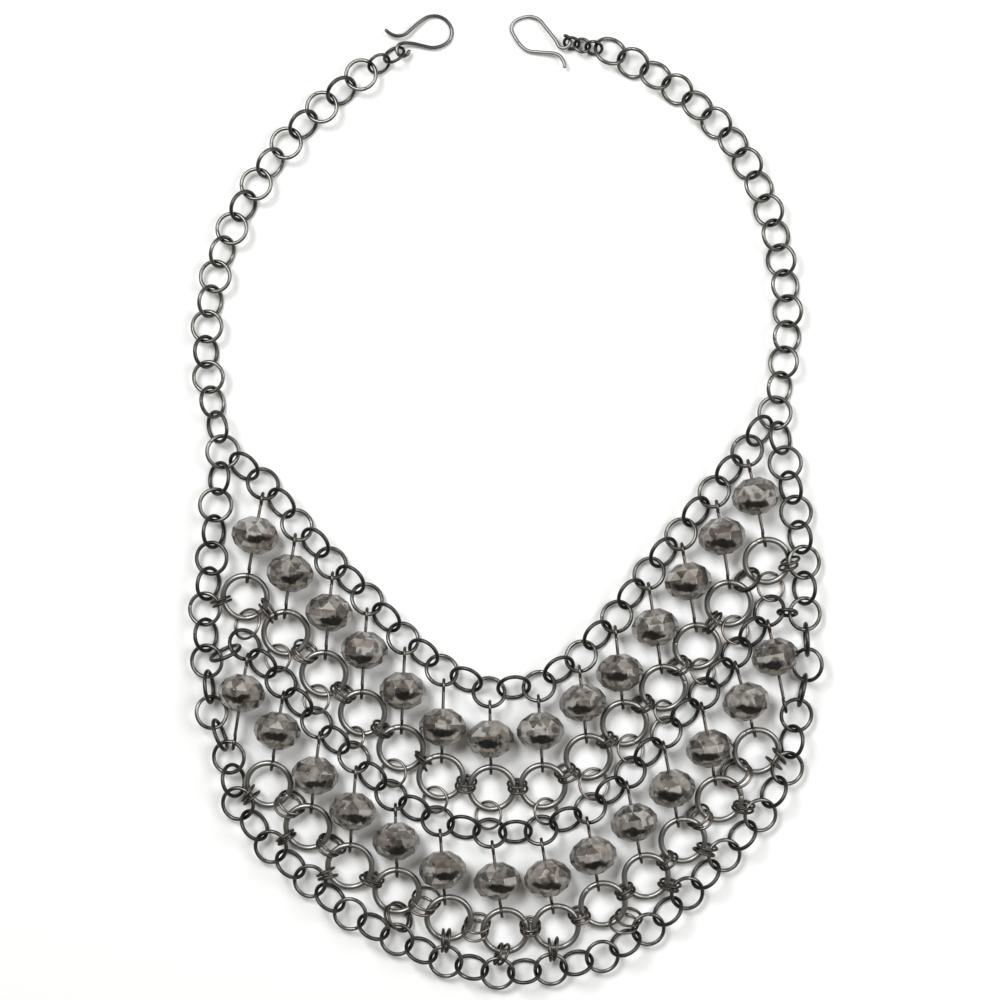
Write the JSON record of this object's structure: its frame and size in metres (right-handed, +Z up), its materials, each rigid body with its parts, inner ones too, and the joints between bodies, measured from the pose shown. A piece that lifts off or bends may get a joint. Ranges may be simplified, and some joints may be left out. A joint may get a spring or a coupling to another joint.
{
  "type": "statement necklace",
  "caption": "Bib necklace of round-link chains with rows of faceted smoky glass beads and large open rings, closed by wire hooks, laid flat.",
  "frame": {"origin": "middle of the laid-out necklace in plan, on the surface it lies on", "axes": "+Z up from the surface, +Y toward the hooks, +X to the right as seen from above with the hooks at the top"},
  "size_m": [0.1588, 0.2444, 0.0112],
  "materials": {
    "chain_metal": "dark gunmetal plating, worn bright on the highlights",
    "pin_metal": "dark gunmetal plated wire",
    "ring_metal": "dark gunmetal plating, satin",
    "hook_metal": "dark gunmetal plated wire",
    "bead_glass": "faceted smoky grey glass with a faint brown tint"
  },
  "bodies": {
    "root": {"neck_chain_left": "chain_metal", "neck_chain_right": "chain_metal", "neckline_chain": "chain_metal", "middle_chain": "chain_metal", "outer_chain": "chain_metal", "upper_pins": "pin_metal", "lower_pins": "pin_metal", "upper_rings": "ring_metal", "lower_rings": "ring_metal", "hook_left": "hook_metal", "hook_right": "hook_metal", "hook_rings_left": "hook_metal", "hook_rings_right": "hook_metal", "upper_bead_1": "bead_glass", "upper_bead_2": "bead_glass", "upper_bead_3": "bead_glass", "upper_bead_4": "bead_glass", "upper_bead_5": "bead_glass", "upper_bead_6": "bead_glass", "upper_bead_7": "bead_glass", "upper_bead_8": "bead_glass", "upper_bead_9": "bead_glass", "upper_bead_10": "bead_glass", "upper_bead_11": "bead_glass", "upper_bead_12": "bead_glass", "upper_bead_13": "bead_glass", "upper_bead_14": "bead_glass", "lower_bead_1": "bead_glass", "lower_bead_2": "bead_glass", "lower_bead_3": "bead_glass", "lower_bead_4": "bead_glass", "lower_bead_5": "bead_glass", "lower_bead_6": "bead_glass", "lower_bead_7": "bead_glass", "lower_bead_8": "bead_glass", "lower_bead_9": "bead_glass", "lower_bead_10": "bead_glass", "lower_bead_11": "bead_glass", "lower_bead_12": "bead_glass", "lower_bead_13": "bead_glass", "lower_bead_14": "bead_glass"}
  },
  "joints": []
}
